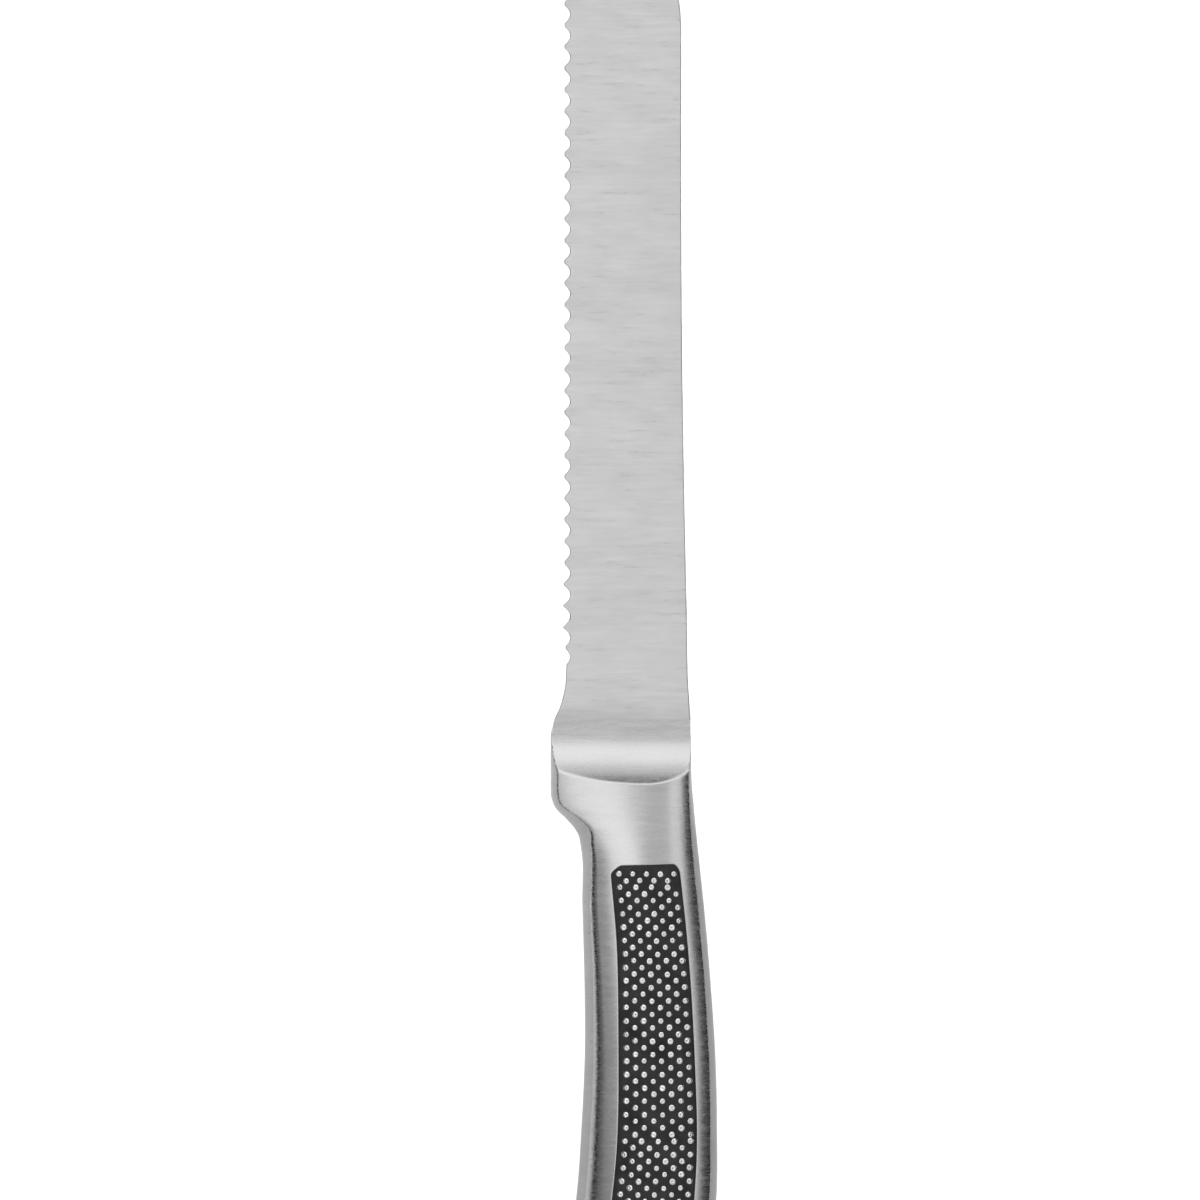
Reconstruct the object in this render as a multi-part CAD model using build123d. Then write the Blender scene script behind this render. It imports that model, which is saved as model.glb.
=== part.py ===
from build123d import *
import math
import os

# Bread knife with a hollow, welded stainless steel handle and studded grip panels.
#
# Working frame, in millimetres: +Y runs to the blade's tip, +X to the spine, and +Z is the
# left side of the blade, so the knife lies on its right side. Z = 0 is the blade's mid-plane
# and Y = 0 is close behind the heel. At the end every piece is shifted by one common offset,
# so that the origin is at the centre of the bounding box's bottom face.

# ---- blade ----
BLADE_THICKNESS = 2.0
BLADE_START_Y = 3.5            # the blade's rear end, where the bolster's fillet begins
TIP_Y = 203.0                  # a 200 mm class blade
NOSE_X = 13.2                  # the nose is a quarter ellipse, from the spine to the tip
NOSE_Y = 165.0
SPINE = [                      # closes in slowly towards the tip
    (15.4, BLADE_START_Y), (14.85, 12.0), (14.45, 31.0), (14.0, 52.0), (13.6, 75.0),
    (13.25, 110.0), (NOSE_X, NOSE_Y),
]
EDGE_X = -14.2                 # the line of the tooth points
EDGE_START_Y = 24.0
PLAIN_EDGE = [                 # unsharpened from the first scallop, then flared to the bolster
    (EDGE_X, EDGE_START_Y), (-13.75, 17.0), (-14.3, 10.0), (-15.35, 6.3),
    (-16.65, BLADE_START_Y),
]

# ---- scallops, ground from the right side only ----
TOOTH_PITCH = 5.05
TOOTH_DEPTH = 1.3              # seen on the flat left side
SCALLOP_WIDTH = 4.1            # what is left between scallops is a short blunt point
FIRST_TOOTH_Y = 22.8           # middle of the first scallop at the full pitch
HEEL_TOOTH_Y = 18.3            # one scallop more, set closer, ends the row at the heel
GRIND_ANGLE = 20.0             # between the grinding wheel's axis and the blade's side
TIP_MARGIN = 5.0

# ---- tang ----
TANG_THICKNESS = 1.6           # ground thinner than the blade
TANG_X = 2.5
TANG_WIDTH = 12.0
TANG_END_WIDTH = 7.0
TANG_END_Y = -52.0

# ---- handle, as stations along Y ----
# Each one: y, belly x, spine x, crown height above the mid-plane, ridge x, and the radii of the
# crown's arcs from the ridge to the belly and to the spine, which tighten where the hand closes.
BOLSTER_STATIONS = [
    (3.5, -16.65, 15.4, 7.6, 5.0, 78.0, 19.0),
    (0.5, -17.35, 15.45, 7.6, 5.0, 78.0, 19.0),
    (-3.0, -17.5, 15.5, 7.6, 5.0, 78.0, 19.0),
    (-6.5, -17.5, 15.55, 7.6, 5.0, 78.0, 19.0),
    (-10.0, -17.5, 15.65, 7.6, 5.0, 78.0, 19.0),
    (-13.0, -17.45, 15.8, 7.6, 5.0, 76.0, 19.0),
    (-15.5, -17.1, 16.05, 7.65, 5.0, 73.0, 19.1),
    (-17.5, -16.1, 16.2, 7.7, 5.0, 68.0, 19.2),
    (-19.5, -14.1, 16.4, 7.7, 5.0, 62.0, 19.3),
    (-21.5, -12.2, 16.6, 7.75, 5.0, 56.0, 19.4),
    (-23.5, -11.0, 16.8, 7.75, 5.0, 50.0, 19.5),
]
HANDLE_STATIONS = [
    (-26.0, -10.45, 17.05, 7.8, 5.1, 45.0, 19.6),
    (-40.0, -10.05, 18.55, 8.0, 5.8, 38.0, 21.0),
    (-58.0, -9.55, 20.1, 8.4, 6.8, 33.0, 23.0),
    (-76.0, -9.5, 21.3, 8.9, 7.4, 30.0, 24.0),
    (-93.0, -10.3, 21.8, 9.3, 7.3, 29.0, 24.5),
    (-109.0, -11.5, 21.55, 9.5, 6.8, 28.0, 25.0),
    (-119.0, -12.9, 20.3, 9.2, 5.6, 28.0, 25.0),
    (-125.5, -13.2, 17.0, 8.0, 3.5, 28.0, 25.0),
    (-129.0, -10.5, 12.0, 5.5, 1.0, 28.0, 25.0),
]
SHOULDER_INSET = 1.8           # the sides lean in by this much up to the shoulder
FILLET_RADIUS = 20.0           # hollow of the bolster where it runs down to the blade
BOLSTER_REAR_Y = -26.0
SPIGOT_LENGTH = 2.6

# ---- handle shells ----
WALL = 1.2
BUTT_WALL = 2.0
RECESS_DEPTH = 1.3             # the pressed recess that takes the grip panel
RECESS_WALL = 1.0

# ---- grip panel ----
PANEL_BELLY_SIDE = [(-3.3, -32.2), (-2.0, -47.0), (-1.5, -70.0), (-2.0, -98.0), (-3.4, -112.0)]
PANEL_SPINE_SIDE = [(15.9, -112.0), (16.7, -98.0), (16.2, -75.0), (14.4, -47.0), (12.75, -31.7)]
PANEL_TOP_CORNERS = [(11.7, -30.15), (-1.2, -30.5)]
PANEL_END_LENGTH = 6.5         # the rear end is half of a squarish superellipse
PANEL_END_POWER = 2.6
PANEL_END_STEPS = 8
PLATE_THICKNESS = 0.5
INFILL_DEPTH = 0.25            # the infill lies this far below the shell's crown
STUD_RADIUS = 0.72
STUD_SHANK_DEPTH = 0.12        # the shank ends this far below the shell's crown
STUD_DOME = 0.32               # rise of the dome above its shank
STUD_ROW_PITCH = 1.56
STUD_FIRST_ROW_Y = -32.4
STUD_LAST_ROW_Y = -115.5
STUD_BELLY_MARGIN = 1.75
STUD_SPINE_MARGIN = 1.4
STUD_END_MARGIN = 1.3
STUD_MAX_SPACING = 2.2         # across the panel, between neighbouring columns
STUD_COLUMNS = 8
STUD_DENSE_ROWS = 2            # the first rows under the top edge are packed closer

# ---- inside the handle ----
RESIN_END_Y = -62.0
WEIGHT_START_Y = -110.0
WEIGHT_END_Y = -124.0
BOND_GAP = 0.15

TOP = 20.0                     # higher than anything in the model


def crown_z(x, station, inset):
    """Height of the crown at x, inset by the given distance: two arcs that meet at the ridge."""
    y, belly, spine, height, ridge, belly_arc_radius, spine_arc_radius = station
    radius = (belly_arc_radius if x < ridge else spine_arc_radius) - inset
    return height - inset - radius + math.sqrt(radius ** 2 - (x - ridge) ** 2)


def half_section(station, inset):
    """Upper half of the handle's section: bulging drafted sides and a two-arc crown."""
    y, belly, spine, height, ridge, belly_arc_radius, spine_arc_radius = station
    belly += inset
    spine -= inset
    belly_shoulder_x = belly + SHOULDER_INSET
    spine_shoulder_x = spine - SHOULDER_INSET
    belly_shoulder = (belly_shoulder_x, y, crown_z(belly_shoulder_x, station, inset))
    spine_shoulder = (spine_shoulder_x, y, crown_z(spine_shoulder_x, station, inset))
    top = (ridge, y, height - inset)
    return make_face([
        TangentArc((belly, y, 0), belly_shoulder, tangent=(0, 0, 1)),
        TangentArc(top, belly_shoulder, tangent=(-1, 0, 0)),
        TangentArc(top, spine_shoulder, tangent=(1, 0, 0)),
        TangentArc((spine, y, 0), spine_shoulder, tangent=(0, 0, 1)),
        Line((spine, y, 0), (belly, y, 0)),
    ])


def half_body(stations, inset=0.0):
    """Upper half of the handle, lofted through its stations and inset all round."""
    return loft([half_section(station, inset) for station in stations])


def slab(rear_y, front_y):
    """Everything between two planes across the handle, above the mid-plane."""
    box = Box(4 * TOP, front_y - rear_y, TOP, align=(Align.CENTER, Align.MIN, Align.MIN))
    return Pos(0, rear_y, 0) * box


def mirrored(solid):
    """The same piece on the right side of the knife."""
    return mirror(solid, about=Plane.XY)


def both_sides(half):
    """A half solid joined to its own mirror image across the mid-plane."""
    return half + mirrored(half)


# ---- blade ----

def blade_blank():
    """Flat blade plate, before the scallops are ground."""
    spine = Spline(*SPINE, tangents=((-0.08, 1), (0, 1)))
    nose = EllipticalCenterArc((EDGE_X, NOSE_Y), NOSE_X - EDGE_X, TIP_Y - NOSE_Y, arc_size=90)
    edge = Line((EDGE_X, TIP_Y), (EDGE_X, EDGE_START_Y))
    plain = Spline(*PLAIN_EDGE, tangents=((0, -1), (-0.5, -1)))
    rear = Line(plain @ 1, spine @ 0)
    plate = make_face([spine, nose, edge, plain, rear])
    return Pos(0, 0, -BLADE_THICKNESS / 2) * extrude(plate, BLADE_THICKNESS)


def tang():
    """Tapered tang, a little thinner than the blade."""
    outline = make_face(Polyline(
        (TANG_X - TANG_WIDTH / 2, BLADE_START_Y),
        (TANG_X + TANG_WIDTH / 2, BLADE_START_Y),
        (TANG_X + TANG_WIDTH / 2, BOLSTER_REAR_Y),
        (TANG_X + TANG_END_WIDTH / 2, TANG_END_Y),
        (TANG_X - TANG_END_WIDTH / 2, TANG_END_Y),
        (TANG_X - TANG_WIDTH / 2, BOLSTER_REAR_Y),
        close=True,
    ))
    return Pos(0, 0, -TANG_THICKNESS / 2) * extrude(outline, TANG_THICKNESS)


def scallop_cutters():
    """Tilted grinding cylinders: each cuts one scallop through the edge from the right side."""
    tilt = math.radians(GRIND_ANGLE)
    wheel_sagitta = TOOTH_DEPTH * math.sin(tilt)
    wheel_radius = ((SCALLOP_WIDTH / 2) ** 2 + wheel_sagitta ** 2) / (2 * wheel_sagitta)
    deepest = Vector(EDGE_X + TOOTH_DEPTH, 0, BLADE_THICKNESS / 2)
    outward = Vector(-math.sin(tilt), 0, -math.cos(tilt))
    centre = deepest + outward * wheel_radius
    wheel = Cylinder(wheel_radius, 4 * TOP, rotation=(0, 90 + GRIND_ANGLE, 0))
    count = int((TIP_Y - TIP_MARGIN - FIRST_TOOTH_Y) / TOOTH_PITCH) + 1
    places = [HEEL_TOOTH_Y] + [FIRST_TOOTH_Y + i * TOOTH_PITCH for i in range(count)]
    return [Pos(centre.X, y, centre.Z) * wheel for y in places]


def blade():
    """The serrated blade with its tang, one piece of steel."""
    return blade_blank() + tang() - scallop_cutters()


# ---- bolster ----

def front_cutter():
    """Everything above the bolster's hollow fillet, which runs down to the blade's side."""
    blade_z = BLADE_THICKNESS / 2
    reach = 0.9 * FILLET_RADIUS
    rise = FILLET_RADIUS - math.sqrt(FILLET_RADIUS ** 2 - reach ** 2)
    start = (0, BLADE_START_Y, blade_z)
    end = (0, BLADE_START_Y - reach, blade_z + rise)
    hollow = TangentArc(start, end, tangent=(0, -1, 0))
    outside = Polyline(end, (0, BLADE_START_Y - reach, TOP), (0, BLADE_START_Y, TOP), start)
    return extrude(make_face([hollow, outside]), 2 * TOP, both=True, dir=(1, 0, 0))


def bolster():
    """Solid collar between blade and handle, with a slot for the tang and a spigot behind."""
    outside = half_body(BOLSTER_STATIONS + HANDLE_STATIONS[:1]) - front_cutter()
    spigot = half_body(HANDLE_STATIONS, WALL) & slab(BOLSTER_REAR_Y - SPIGOT_LENGTH, BOLSTER_REAR_Y)
    slot = Pos(TANG_X, 0, 0) * Box(TANG_WIDTH, 4 * TOP, TANG_THICKNESS)
    return both_sides(outside + spigot) - slot


# ---- grip panel ----

def panel_end(belly_end, spine_end, margin):
    """Points of the panel's rounded rear end, from the belly side to the spine side."""
    middle = (belly_end + spine_end) / 2
    half_width = (spine_end.X - belly_end.X) / 2
    points = []
    for step in range(1, PANEL_END_STEPS):
        angle = math.pi * (1 - step / PANEL_END_STEPS)
        across = math.copysign(abs(math.cos(angle)) ** (2 / PANEL_END_POWER), math.cos(angle))
        down = math.sin(angle) ** (2 / PANEL_END_POWER)
        points.append((
            middle.X + half_width * across,
            middle.Y - (PANEL_END_LENGTH + margin) * down,
        ))
    return points


def panel_prism(margin=0.0):
    """The grip panel's outline, widened by a margin and taken straight up."""
    belly = Spline(*[(x - margin, y) for x, y in PANEL_BELLY_SIDE])
    spine = Spline(*[(x + margin, y) for x, y in PANEL_SPINE_SIDE])
    top_corners = [(x, y + margin) for x, y in PANEL_TOP_CORNERS]
    rear = Spline(
        belly @ 1, *panel_end(belly @ 1, spine @ 0, margin), spine @ 0,
        tangents=(belly % 1, spine % 0),
    )
    top = Polyline(spine @ 1, *top_corners, belly @ 0)
    return extrude(make_face([belly, rear, spine, top]), TOP)


def between(points, y):
    """Values at y on straight lines between points of the form (y, value, value, ...)."""
    ordered = sorted(points)
    y = min(max(y, ordered[0][0]), ordered[-1][0])
    for low, high in zip(ordered, ordered[1:]):
        if low[0] <= y <= high[0]:
            part = (y - low[0]) / (high[0] - low[0])
            return [a + (b - a) * part for a, b in zip(low, high)]


def stud_places():
    """Centres of the studs: staggered rows whose columns spread as the panel widens."""
    belly_side = [(y, x) for x, y in PANEL_BELLY_SIDE]
    spine_side = [(y, x) for x, y in PANEL_SPINE_SIDE]
    rows = int((STUD_FIRST_ROW_Y - STUD_LAST_ROW_Y) / STUD_ROW_PITCH) + 1
    places = []
    for row in range(rows):
        y = STUD_FIRST_ROW_Y - row * STUD_ROW_PITCH
        first = between(belly_side, y)[1] + STUD_BELLY_MARGIN
        last = between(spine_side, y)[1] - STUD_SPINE_MARGIN
        columns = STUD_COLUMNS
        if row < STUD_DENSE_ROWS or (last - first) / (columns - 1) > STUD_MAX_SPACING:
            columns += 1
        spacing = (last - first) / (columns - 1)
        for column in range(row % 2, columns, 2):
            place = (first + column * spacing, y)
            if clear_of_rear_end(place):
                places.append(place)
    return places


def clear_of_rear_end(place):
    """True where a stud keeps its margin from the panel's rounded rear end."""
    x, y = place
    belly_end_x, end_y = PANEL_BELLY_SIDE[-1]
    spine_end_x = PANEL_SPINE_SIDE[0][0]
    half_width = (spine_end_x - belly_end_x) / 2 - STUD_END_MARGIN
    across = abs(x - (belly_end_x + spine_end_x) / 2) / half_width
    down = (end_y - y) / (PANEL_END_LENGTH - STUD_END_MARGIN)
    return down <= 0 or across ** PANEL_END_POWER + down ** PANEL_END_POWER <= 1


def studs():
    """Round studs with domed tops, rooted in the middle of the plate."""
    root = RECESS_DEPTH - PLATE_THICKNESS / 2
    shank = root - STUD_SHANK_DEPTH
    profile = make_face([
        Polyline((0, shank + STUD_DOME), (0, 0), (STUD_RADIUS, 0), (STUD_RADIUS, shank)),
        TangentArc((0, shank + STUD_DOME), (STUD_RADIUS, shank), tangent=(1, 0)),
    ])
    stud = revolve(Plane.XZ * profile, Axis.Z)
    return [
        Pos(x, y, crown_z(x, between(HANDLE_STATIONS, y), root)) * stud
        for x, y in stud_places()
    ]


def panel_layer(outer_inset, inner_inset):
    """Curved layer within the panel's outline, between two depths below the crown."""
    outer = half_body(HANDLE_STATIONS, outer_inset)
    inner = half_body(HANDLE_STATIONS, inner_inset)
    return (panel_prism() & outer) - inner


def pip_plate():
    """Steel plate that lines the recess, with all of its studs standing up from it."""
    return panel_layer(RECESS_DEPTH - PLATE_THICKNESS, RECESS_DEPTH) + studs()


def grip_infill():
    """Black skin over the plate, between the studs, a little below the shell's crown."""
    hole = Cylinder(STUD_RADIUS, TOP, align=(Align.CENTER, Align.CENTER, Align.MIN))
    holes = [Pos(x, y, 0) * hole for x, y in stud_places()]
    return panel_layer(INFILL_DEPTH, RECESS_DEPTH - PLATE_THICKNESS) - holes


# ---- handle shells and what they hold ----

def cavity(gap=0.0):
    """Hollow of one handle shell: inset by the wall, and by the recess where the panel is."""
    butt_y = HANDLE_STATIONS[-1][0] + BUTT_WALL + gap
    hollow = half_body(HANDLE_STATIONS, WALL + gap) & slab(butt_y, BOLSTER_REAR_Y)
    under_recess = half_body(HANDLE_STATIONS, RECESS_DEPTH + RECESS_WALL + gap)
    return hollow - (panel_prism(RECESS_WALL + gap) - under_recess)


def handle_shell():
    """Pressed half of the hollow handle, with a recess for the grip panel."""
    recess = panel_prism() - half_body(HANDLE_STATIONS, RECESS_DEPTH)
    return half_body(HANDLE_STATIONS) - recess - cavity()


def tang_resin():
    """Cast block that holds the tang in the front of the hollow handle."""
    front_y = BOLSTER_REAR_Y - SPIGOT_LENGTH
    half = cavity(BOND_GAP) & slab(RESIN_END_Y, front_y)
    return both_sides(half) - tang()


def balance_weight():
    """Cast weight bonded into the butt."""
    return both_sides(cavity(BOND_GAP) & slab(WEIGHT_END_Y, WEIGHT_START_Y))


def build():
    """Every piece of the knife, by node name, in the working frame."""
    shell = handle_shell()
    plate = pip_plate()
    infill = grip_infill()
    return {
        "blade": blade(),
        "bolster": bolster(),
        "handle_shell_left": shell,
        "handle_shell_right": mirrored(shell),
        "pip_plate_left": plate,
        "pip_plate_right": mirrored(plate),
        "grip_infill_left": infill,
        "grip_infill_right": mirrored(infill),
        "tang_resin": tang_resin(),
        "balance_weight": balance_weight(),
    }


def main():
    os.makedirs("parts", exist_ok=True)
    pieces = build()
    box = Compound(list(pieces.values())).bounding_box()
    to_origin = Pos(-box.center().X, -box.center().Y, -box.min.Z)
    for node, piece in pieces.items():
        export_step(to_origin * piece, f"parts/{node}.step")
    print("origin, in the working frame:", box.center().X, box.center().Y, box.min.Z)
    print("size:", box.size)


main()
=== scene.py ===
import math

import bmesh
import bpy
import numpy as np
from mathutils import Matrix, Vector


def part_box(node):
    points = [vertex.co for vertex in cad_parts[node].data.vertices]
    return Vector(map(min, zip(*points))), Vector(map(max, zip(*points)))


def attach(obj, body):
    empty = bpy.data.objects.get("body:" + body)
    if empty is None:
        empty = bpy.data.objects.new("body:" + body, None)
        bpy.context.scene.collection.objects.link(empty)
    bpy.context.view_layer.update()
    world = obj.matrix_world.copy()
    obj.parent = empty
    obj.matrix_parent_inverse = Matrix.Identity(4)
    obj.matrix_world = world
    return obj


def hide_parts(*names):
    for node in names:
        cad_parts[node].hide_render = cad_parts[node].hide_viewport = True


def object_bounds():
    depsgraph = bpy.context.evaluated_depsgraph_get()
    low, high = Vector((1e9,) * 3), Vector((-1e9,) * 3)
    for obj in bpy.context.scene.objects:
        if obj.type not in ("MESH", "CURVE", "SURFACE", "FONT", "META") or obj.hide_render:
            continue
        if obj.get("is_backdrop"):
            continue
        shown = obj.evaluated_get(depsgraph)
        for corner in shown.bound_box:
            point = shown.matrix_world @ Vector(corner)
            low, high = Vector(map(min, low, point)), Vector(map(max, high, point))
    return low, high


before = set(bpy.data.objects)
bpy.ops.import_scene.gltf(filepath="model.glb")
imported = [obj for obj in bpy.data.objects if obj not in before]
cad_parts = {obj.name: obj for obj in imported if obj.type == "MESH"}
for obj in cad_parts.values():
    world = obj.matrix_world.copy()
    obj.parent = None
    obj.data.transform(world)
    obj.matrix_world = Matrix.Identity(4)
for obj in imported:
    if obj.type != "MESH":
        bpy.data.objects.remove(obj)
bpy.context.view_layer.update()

# Looks of the bread knife. Shapes are worked out in the CAD source's working frame, in
# millimetres: +Y to the tip, +X to the spine, +Z the left side, Z = 0 the blade's mid-plane.

MM = 0.001
WELD = 2e-6                    # metres

# ---- driving dimensions, the same as in the CAD source ----
BLADE_HALF = 1.0
BLADE_START_Y = 3.5
TIP_Y = 203.0
SPINE_HEEL_X = 15.4
SPINE_MID_X = 13.6
SPINE_MID_Y = 75.0
NOSE_X = 13.2
NOSE_Y = 165.0
EDGE_X = -14.2
HEEL_EDGE_X = -16.65
PLAIN_EDGE_X = -13.75
PLAIN_EDGE_Y = 17.0
TOOTH_PITCH = 5.05
TOOTH_DEPTH = 1.3
SCALLOP_WIDTH = 4.1
FIRST_TOOTH_Y = 22.8
HEEL_NOTCH_Y = 18.3
GRIND_ANGLE = math.radians(20)
TIP_MARGIN = 5.0
TANG_X = 2.5
TANG_WIDTH = 12.0
TANG_END_WIDTH = 7.0
TANG_END_Y = -52.0
TANG_HALF = 0.8
BOLSTER_REAR_Y = -26.0
SPIGOT_LENGTH = 2.6
FILLET_RADIUS = 20.0
WALL = 1.2
RECESS_DEPTH = 1.3
RECESS_WALL = 1.0
PLATE_THICKNESS = 0.5
INFILL_DEPTH = 0.25
RESIN_END_Y = -62.0
WEIGHT_START_Y = -110.0
WEIGHT_END_Y = -124.0

# ---- sizes that only the looks have ----
MICRO_BEVEL = 0.22             # the edge's last bevel on the left side: its width and its depth
MICRO_BEVEL_DROP = 0.13
FACET_STEP = 0.015             # keeps the scallops' face just under the last bevel
SPINE_ROUND = 0.35
BOND_GAP = 0.15                # between a cast block and the shell's inside

# ---- how finely the shapes are divided ----
NECK_STEPS = 18
SIDE_STEPS = 170
END_STEPS = 60
SLOT_COLUMNS = 13
BLADE_SLOT_COLUMNS = 6
NOSE_STEPS = 160
ROWS_PER_TOOTH = 20
MIN_RISE = 0.02                # keeps the two sides of a thin edge apart
OVERRUN = np.array([0.0, 12.0])  # the outline runs on past the bolster's front

# ---- the handle's surface, close to the CAD source's but finer at the sides ----

# y, belly x, spine x, crown height, ridge x, crown radius to the belly, crown radius to the spine
STATIONS = [
    (3.5, -16.65, 15.4, 7.6, 5.0, 78.0, 19.0),
    (0.5, -17.35, 15.45, 7.6, 5.0, 78.0, 19.0),
    (-3.0, -17.48, 15.5, 7.6, 5.0, 78.0, 19.0),
    (-6.5, -17.48, 15.55, 7.6, 5.0, 78.0, 19.0),
    (-10.0, -17.48, 15.65, 7.6, 5.0, 78.0, 19.0),
    (-13.0, -17.45, 15.8, 7.6, 5.0, 76.0, 19.0),
    (-15.5, -17.1, 16.05, 7.65, 5.0, 73.0, 19.1),
    (-17.5, -16.1, 16.2, 7.7, 5.0, 68.0, 19.2),
    (-19.5, -14.1, 16.4, 7.7, 5.0, 60.0, 19.3),
    (-21.5, -12.2, 16.6, 7.75, 5.0, 52.0, 19.4),
    (-23.5, -11.0, 16.8, 7.75, 5.0, 44.0, 19.5),
    (-26.0, -10.45, 17.05, 7.8, 5.1, 38.5, 19.6),
    (-40.0, -10.05, 18.55, 8.0, 5.8, 33.5, 20.4),
    (-58.0, -9.55, 20.1, 8.4, 6.8, 31.5, 21.6),
    (-76.0, -9.5, 21.25, 8.9, 7.4, 30.0, 22.3),
    (-93.0, -10.3, 21.65, 9.3, 7.3, 29.0, 22.8),
    (-109.0, -11.5, 21.45, 9.5, 6.8, 28.0, 23.2),
    (-119.0, -12.9, 20.3, 9.4, 5.6, 28.0, 23.2),
    (-129.0, -13.5, 18.0, 9.0, 4.5, 28.0, 23.2),
]
BUTT = [
    (-12.9, -119.0), (-13.3, -123.0), (-12.6, -126.3), (-10.0, -128.3), (-6.0, -128.85),
    (2.0, -128.85), (9.0, -128.6), (14.0, -127.1), (17.7, -123.9), (20.3, -119.0),
]

# The sides: y, how far they lean in before the crown, how softly they turn into it.
BELLY_SIDE = [
    (-14, 1.55, 0.1), (-18, 1.6, 0.1), (-21.3, 2.4, 0.1), (-23.3, 3.1, 0.1), (-25.5, 2.7, 0.14),
    (-28, 2.5, 0.2), (-60, 2.7, 0.3), (-110, 3.1, 0.4),
]
SPINE_SIDE = [(0, 0.35, 0.06), (-8, 0.6, 0.06), (-24, 1.2, 0.06), (-60, 1.4, 0.06), (-110, 1.6, 0.1)]
BUTT_LEAN = 3.4
BUTT_TURN = 0.6
SIDE_POWER = 0.55
UV_SCALE = 3
UV_TAPER = 0.1                 # metres; gives upright faces a size in the UV map too
UV_TILT = 0.1                  # does the same for a face that crosses the mid-plane
BUTT_BLEND_Y = (-112.0, -126.0)  # where the sides' lean changes to the butt's
FILLET_TURN = 0.3              # mm, over which the fillet turns into the crown

# ---- grip panel ----
PANEL_BELLY_SIDE = [(-3.3, -32.2), (-2.0, -47.0), (-1.5, -70.0), (-2.0, -98.0), (-3.4, -112.0)]
PANEL_SPINE_SIDE = [(15.9, -112.0), (16.7, -98.0), (16.2, -75.0), (14.4, -47.0), (12.75, -31.7)]
PANEL_TOP_CORNERS = [(11.7, -30.15), (-1.2, -30.5)]
PANEL_END_LENGTH = 6.5
PANEL_END_POWER = 2.6
PANEL_END_STEPS = 8
LIP = 0.28                     # radius of the shell's edge round the panel
SIDE_STEEPNESS = 0.62          # faces whose normal rises less than this belong to the sides
SIDE_PAINTED_SHADE = 0.5                # painted shade: how much darker the steep side faces are coloured
BELLY_SIDE_PAINTED_SHADE = 0.48         # how much of that painted shade the belly side gets, the spine side being 1
HEEL_PAINTED_SHADE = 0.17               # painted shade: how much darker the blade is coloured where it runs into the bolster
HEEL_PAINTED_SHADE_Y = 8.5              # where that painted shade begins
SIDE_ROUGHER = 0.08            # how much rougher the steep faces are
STUD_ROW_PITCH = 1.56
STUD_FIRST_ROW_Y = -32.4
STUD_LAST_ROW_Y = -115.5
STUD_BELLY_MARGIN = 1.75
STUD_SPINE_MARGIN = 1.4
STUD_END_MARGIN = 1.3
STUD_MAX_SPACING = 2.2
STUD_COLUMNS = 8
STUD_DENSE_ROWS = 2            # rows at the front that have one column more
STUD_TOP_DEPTH = 0.08
# radius and height of the stud's section, from its foot to the dimple in the middle
STUD_SECTION = [
    (0.72, -0.62), (0.72, -0.1), (0.71, -0.03), (0.675, 0.03), (0.61, 0.075), (0.5, 0.115),
    (0.38, 0.14), (0.27, 0.145), (0.2, 0.11), (0.13, 0.06), (0.06, 0.03), (0.0, 0.02),
]
STUD_SIDES = 22

# The working frame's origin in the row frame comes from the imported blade.
blade_corner = np.array(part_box("blade")[1]) / MM
SHIFT = blade_corner - np.array([SPINE_HEEL_X, TIP_Y, BLADE_HALF])


def to_frame(points):
    """Working frame in millimetres to row frame in metres."""
    return (np.asarray(points, float) + SHIFT) * MM


# ---- curves and surfaces ----

def smooth(x, table, column=1):
    """Value at x of a smooth curve through a table's rows, whose first entry is x."""
    rows = np.array(sorted(table), float)
    xs = rows[:, 0]
    values = rows[:, column]
    slopes = np.gradient(values, xs)
    x = np.clip(x, xs[0], xs[-1])
    i = np.clip(np.searchsorted(xs, x) - 1, 0, len(xs) - 2)
    step = xs[i + 1] - xs[i]
    t = (x - xs[i]) / step
    rise = values[i + 1] - values[i]
    bend = t * (1 - t)
    return (
        values[i] + rise * t * t * (3 - 2 * t)
        + step * bend * (slopes[i] * (1 - t) - slopes[i + 1] * t)
    )


def along(points, shares):
    """Points on the smooth curve through the given points, at shares of its length."""
    points = np.array(points, float)
    chord = np.concatenate([[0], np.cumsum(np.linalg.norm(np.diff(points, axis=0), axis=1))])
    fine = np.linspace(0, chord[-1], 40 * len(points))
    curve = np.stack([smooth(fine, list(zip(chord, points[:, axis]))) for axis in (0, 1)], axis=1)
    run = np.concatenate([[0], np.cumsum(np.linalg.norm(np.diff(curve, axis=0), axis=1))])
    at = np.asarray(shares) * run[-1]
    return np.stack([np.interp(at, run, curve[:, axis]) for axis in (0, 1)], axis=1)


def soft_min(a, b, turn):
    """The smaller of two values, with a rounded change from one to the other."""
    overlap = np.maximum(turn - np.abs(a - b), 0) / turn
    return np.minimum(a, b) - overlap * overlap * turn / 4


def segment_distance(points, starts, ends):
    """Distance from each point to the nearest segment, that segment's index and the share."""
    run = ends - starts
    square = np.maximum((run ** 2).sum(1), 1e-12)
    best = []
    for part in np.array_split(points, max(1, len(points) // 3000)):
        offset = part[:, None] - starts[None]
        share = np.clip((offset * run[None]).sum(2) / square, 0, 1)
        gap = np.linalg.norm(offset - share[..., None] * run[None], axis=2)
        nearest = gap.argmin(1)
        row = np.arange(len(part))
        best.append((gap[row, nearest], nearest, share[row, nearest]))
    return [np.concatenate(values) for values in zip(*best)]


def spaced(low, high, step):
    """Evenly spaced values from low to high, about a step apart, both ends included."""
    return np.linspace(low, high, max(2, int(round(abs(high - low) / step)) + 1))


# ---- the handle's outline and the height of its surface ----

bolster_ys = spaced(BLADE_START_Y, BOLSTER_REAR_Y, 0.25)


def outline_x(y, column):
    """The handle's belly (column 1) or spine (column 2) in plan."""
    return smooth(y, STATIONS, column)


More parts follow.
